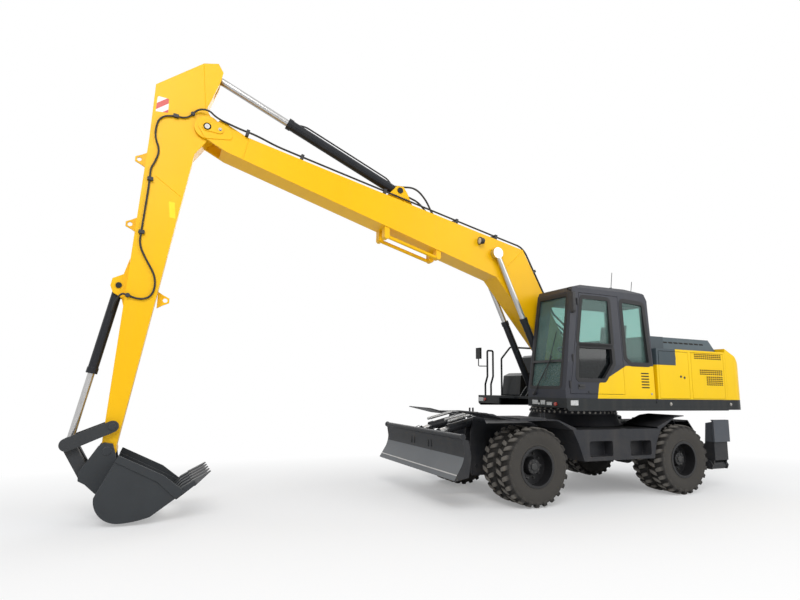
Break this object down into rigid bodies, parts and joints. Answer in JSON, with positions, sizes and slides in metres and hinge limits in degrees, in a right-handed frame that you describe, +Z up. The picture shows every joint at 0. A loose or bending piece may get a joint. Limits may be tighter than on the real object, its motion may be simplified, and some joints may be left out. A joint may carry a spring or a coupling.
{
  "type": "wheeled excavator",
  "caption": "Wheeled excavator with twin tyres, dozer blade, rear outriggers and a long boom and arm that carry a digging bucket.",
  "frame": {"origin": "on the ground under the centre of the whole machine's box, half way between the counterweight's tail and the foremost pin boss of the bucket linkage, and half way between the blade's ends", "axes": "+X forward along the digging front, +Y to the cab side, +Z up"},
  "size_m": [10.1129, 2.47, 5.8336],
  "materials": {
    "tyre": "matt block tread",
    "rim_black": "satin",
    "boom_yellow": "gloss",
    "body_yellow": "gloss",
    "glass": "clear",
    "chrome": "polished",
    "dark_grey": "satin",
    "seat_fabric": "woven",
    "plastic": "matt",
    "lamp_lens": "clear",
    "black_plastic": "satin",
    "cast_black": "painted",
    "frame_black": "satin"
  },
  "bodies": {
    "chassis": {"chassis_frame": "frame_black", "slew_ring": "frame_black", "side_boxes": "frame_black", "front_axle": "cast_black", "rear_axle": "cast_black"},
    "steering_rod": {"steering_rod": "chrome"},
    "knuckle_left": {"knuckle_left": "frame_black"},
    "knuckle_right": {"knuckle_right": "frame_black"},
    "wheel_front_left": {"tyres_front_left": "tyre", "rims_front_left": "rim_black"},
    "wheel_front_right": {"tyres_front_right": "tyre", "rims_front_right": "rim_black"},
    "wheel_rear_left": {"tyres_rear_left": "tyre", "rims_rear_left": "rim_black"},
    "wheel_rear_right": {"tyres_rear_right": "tyre", "rims_rear_right": "rim_black"},
    "blade": {"dozer_blade": "frame_black"},
    "blade_barrels": {"blade_barrels": "frame_black"},
    "blade_rods": {"blade_rods": "chrome"},
    "outrigger_left": {"outrigger_left": "frame_black"},
    "outrigger_right": {"outrigger_right": "frame_black"},
    "outrigger_barrel_left": {"outrigger_barrel_left": "frame_black"},
    "outrigger_barrel_right": {"outrigger_barrel_right": "frame_black"},
    "outrigger_rod_left": {"outrigger_rod_left": "chrome"},
    "outrigger_rod_right": {"outrigger_rod_right": "chrome"},
    "house": {"upper_frame": "dark_grey", "counterweight": "body_yellow", "engine_block": "cast_black", "body_shell": "body_yellow", "tank_box": "dark_grey", "cab_shell": "dark_grey", "cab_glass": "glass", "seat": "seat_fabric", "console": "plastic", "rails_right": "black_plastic", "cab_mirror": "black_plastic", "front_lamps": "lamp_lens"},
    "hood": {"hood": "dark_grey"},
    "side_door_left_front": {"side_door_left_front": "body_yellow"},
    "side_door_left_rear": {"side_door_left_rear": "body_yellow"},
    "side_door_right_front": {"side_door_right_front": "body_yellow"},
    "side_door_right_rear": {"side_door_right_rear": "body_yellow"},
    "cab_door": {"cab_door": "dark_grey", "door_glass": "glass"},
    "boom": {"boom": "boom_yellow"},
    "boom_barrels": {"boom_barrels": "frame_black"},
    "boom_rods": {"boom_rods": "chrome"},
    "arm_barrel": {"arm_barrel": "frame_black"},
    "arm_rod": {"arm_rod": "chrome"},
    "arm": {"arm": "boom_yellow", "arm_brackets": "boom_yellow"},
    "bucket_barrel": {"bucket_barrel": "frame_black"},
    "bucket_rod": {"bucket_rod": "chrome"},
    "rocker": {"rocker": "frame_black"},
    "bucket_link": {"bucket_link": "frame_black"},
    "bucket": {"bucket": "frame_black"}
  },
  "joints": [
    {"name": "slew", "type": "hinge", "parent": "chassis", "child": "house", "pos_m": [-2.3195, 0, 1.26], "axis": [0, 0, 1], "continuous": true},
    {"name": "steer_left", "type": "hinge", "parent": "chassis", "child": "knuckle_left", "pos_m": [-0.6265, 0.59, 0.526], "axis": [0, 0, 1], "range_deg": [-28, 28]},
    {"name": "steer_right", "type": "hinge", "parent": "chassis", "child": "knuckle_right", "pos_m": [-0.6265, -0.59, 0.526], "axis": [0, 0, 1], "range_deg": [-28.2, 28.2]},
    {"name": "steering_rod_slide", "type": "slide", "parent": "chassis", "child": "steering_rod", "axis": [0, 1, 0], "range_m": [-0.095, 0.095]},
    {"name": "roll_front_left", "type": "hinge", "parent": "knuckle_left", "child": "wheel_front_left", "pos_m": [-0.6265, 0.939, 0.526], "axis": [0, 1, 0], "continuous": true},
    {"name": "roll_front_right", "type": "hinge", "parent": "knuckle_right", "child": "wheel_front_right", "pos_m": [-0.6265, -0.939, 0.526], "axis": [0, 1, 0], "continuous": true},
    {"name": "roll_rear_left", "type": "hinge", "parent": "chassis", "child": "wheel_rear_left", "pos_m": [-3.4265, 0.939, 0.526], "axis": [0, 1, 0], "continuous": true},
    {"name": "roll_rear_right", "type": "hinge", "parent": "chassis", "child": "wheel_rear_right", "pos_m": [-3.4265, -0.939, 0.526], "axis": [0, 1, 0], "continuous": true},
    {"name": "blade_lift", "type": "hinge", "parent": "chassis", "child": "blade", "pos_m": [-0.1995, 0, 0.45], "axis": [0, -1, 0], "range_deg": [-33, 8]},
    {"name": "blade_barrel_swing", "type": "hinge", "parent": "chassis", "child": "blade_barrels", "pos_m": [-0.2395, 0, 1.09], "axis": [0, -1, 0], "range_deg": [-21.59, 5.44]},
    {"name": "blade_rod_slide", "type": "slide", "parent": "blade_barrels", "child": "blade_rods", "axis": [0.9701, 0, -0.2425], "range_m": [-0.08444, 0.33517]},
    {"name": "outrigger_fold_left", "type": "hinge", "parent": "chassis", "child": "outrigger_left", "pos_m": [-4.3495, 1.06, 0.4], "axis": [-1, 0, 0], "range_deg": [0, 105]},
    {"name": "outrigger_barrel_swing_left", "type": "hinge", "parent": "chassis", "child": "outrigger_barrel_left", "pos_m": [-4.3495, 0.3, 0.8], "axis": [-1, 0, 0], "range_deg": [-0.04, 3.7]},
    {"name": "outrigger_rod_slide_left", "type": "slide", "parent": "outrigger_barrel_left", "child": "outrigger_rod_left", "axis": [0, 0.9714, -0.2375], "range_m": [-0.0041, 0.40443]},
    {"name": "outrigger_fold_right", "type": "hinge", "parent": "chassis", "child": "outrigger_right", "pos_m": [-4.3495, -1.06, 0.4], "axis": [1, 0, 0], "range_deg": [0, 105]},
    {"name": "outrigger_barrel_swing_right", "type": "hinge", "parent": "chassis", "child": "outrigger_barrel_right", "pos_m": [-4.3495, -0.3, 0.8], "axis": [1, 0, 0], "range_deg": [-0.04, 3.7]},
    {"name": "outrigger_rod_slide_right", "type": "slide", "parent": "outrigger_barrel_right", "child": "outrigger_rod_right", "axis": [0, -0.9714, -0.2375], "range_m": [-0.0041, 0.40443]},
    {"name": "cab_door_swing", "type": "hinge", "parent": "house", "child": "cab_door", "pos_m": [-2.2895, 1.215, 2.2], "axis": [0, 0, 1], "range_deg": [0, 165]},
    {"name": "side_door_swing_left_front", "type": "hinge", "parent": "house", "child": "side_door_left_front", "pos_m": [-3.6635, 1.21, 1.8], "axis": [0, 0, 1], "range_deg": [0, 110]},
    {"name": "side_door_swing_left_rear", "type": "hinge", "parent": "house", "child": "side_door_left_rear", "pos_m": [-4.5035, 1.21, 1.8], "axis": [0, 0, 1], "range_deg": [0, 110]},
    {"name": "side_door_swing_right_front", "type": "hinge", "parent": "house", "child": "side_door_right_front", "pos_m": [-3.6635, -1.21, 1.8], "axis": [0, 0, -1], "range_deg": [0, 110]},
    {"name": "side_door_swing_right_rear", "type": "hinge", "parent": "house", "child": "side_door_right_rear", "pos_m": [-4.5035, -1.21, 1.8], "axis": [0, 0, -1], "range_deg": [0, 110]},
    {"name": "hood_lift", "type": "hinge", "parent": "house", "child": "hood", "pos_m": [-3.2695, 0, 2.45], "axis": [0, 1, 0], "range_deg": [0, 60]},
    {"name": "boom_lift", "type": "hinge", "parent": "house", "child": "boom", "pos_m": [-2.1295, 0, 1.86], "axis": [0, -1, 0], "range_deg": [-50, 36]},
    {"name": "boom_barrel_swing", "type": "hinge", "parent": "house", "child": "boom_barrels", "pos_m": [-1.6945, 0, 1.54], "axis": [0, -1, 0], "range_deg": [-50.11, 36.32]},
    {"name": "boom_rod_slide", "type": "slide", "parent": "boom_barrels", "child": "boom_rods", "axis": [0.4304, 0, 0.9026], "range_m": [-0.44035, 0.31916]},
    {"name": "arm_swing", "type": "hinge", "parent": "boom", "child": "arm", "pos_m": [3.7965, 0, 4.885], "axis": [0, 1, 0], "range_deg": [-74, 33]},
    {"name": "arm_barrel_swing", "type": "hinge", "parent": "boom", "child": "arm_barrel", "pos_m": [0.9775, 0, 4.516], "axis": [0, 1, 0], "range_deg": [-0.075, 0.158]},
    {"name": "arm_rod_slide", "type": "slide", "parent": "arm_barrel", "child": "arm_rod", "axis": [0.9178, 0, 0.397], "range_m": [-0.95094, 0.43163]},
    {"name": "bucket_curl", "type": "hinge", "parent": "arm", "child": "bucket", "pos_m": [4.5825, 0, 0.786], "axis": [0, 1, 0], "range_deg": [-100, 58]},
    {"name": "rocker_swing", "type": "hinge", "parent": "arm", "child": "rocker", "pos_m": [4.5495, 0, 1.058], "axis": [0, 1, 0], "range_deg": [-72.39, 42.46]},
    {"name": "link_swing", "type": "hinge", "parent": "rocker", "child": "bucket_link", "pos_m": [4.9845, 0, 0.867], "axis": [0, 1, 0], "range_deg": [-19.81, 33.77]},
    {"name": "bucket_barrel_swing", "type": "hinge", "parent": "arm", "child": "bucket_barrel", "pos_m": [4.6415, 0, 2.709], "axis": [0, 1, 0], "range_deg": [-6.36, 3.73]},
    {"name": "bucket_rod_slide", "type": "slide", "parent": "bucket_barrel", "child": "bucket_rod", "axis": [0.1831, 0, -0.9831], "range_m": [-0.51305, 0.30096]}
  ],
  "couplings": [
    {"joint": "steer_right", "follows": "steer_left", "ratio": 1},
    {"joint": "steering_rod_slide", "follows": "steer_left", "m_per_rad": -0.19},
    {"joint": "blade_barrel_swing", "follows": "blade_lift", "ratio": 0.64618},
    {"joint": "blade_rod_slide", "follows": "blade_lift", "m_per_rad": -0.57462},
    {"joint": "outrigger_barrel_swing_left", "follows": "outrigger_fold_left", "ratio": 0.0348},
    {"joint": "outrigger_rod_slide_left", "follows": "outrigger_fold_left", "m_per_rad": 0.21845},
    {"joint": "outrigger_barrel_swing_right", "follows": "outrigger_fold_right", "ratio": 0.0348},
    {"joint": "outrigger_rod_slide_right", "follows": "outrigger_fold_right", "m_per_rad": 0.21845},
    {"joint": "boom_barrel_swing", "follows": "boom_lift", "ratio": 0.98518},
    {"joint": "boom_rod_slide", "follows": "boom_lift", "m_per_rad": 0.49595},
    {"joint": "arm_barrel_swing", "follows": "arm_swing", "ratio": -0.00203},
    {"joint": "arm_rod_slide", "follows": "arm_swing", "m_per_rad": 0.72571},
    {"joint": "rocker_swing", "follows": "bucket_curl", "ratio": 0.7126},
    {"joint": "link_swing", "follows": "bucket_curl", "ratio": -0.33237},
    {"joint": "bucket_barrel_swing", "follows": "bucket_curl", "ratio": 0.06258},
    {"joint": "bucket_rod_slide", "follows": "bucket_curl", "m_per_rad": 0.28933}
  ]
}
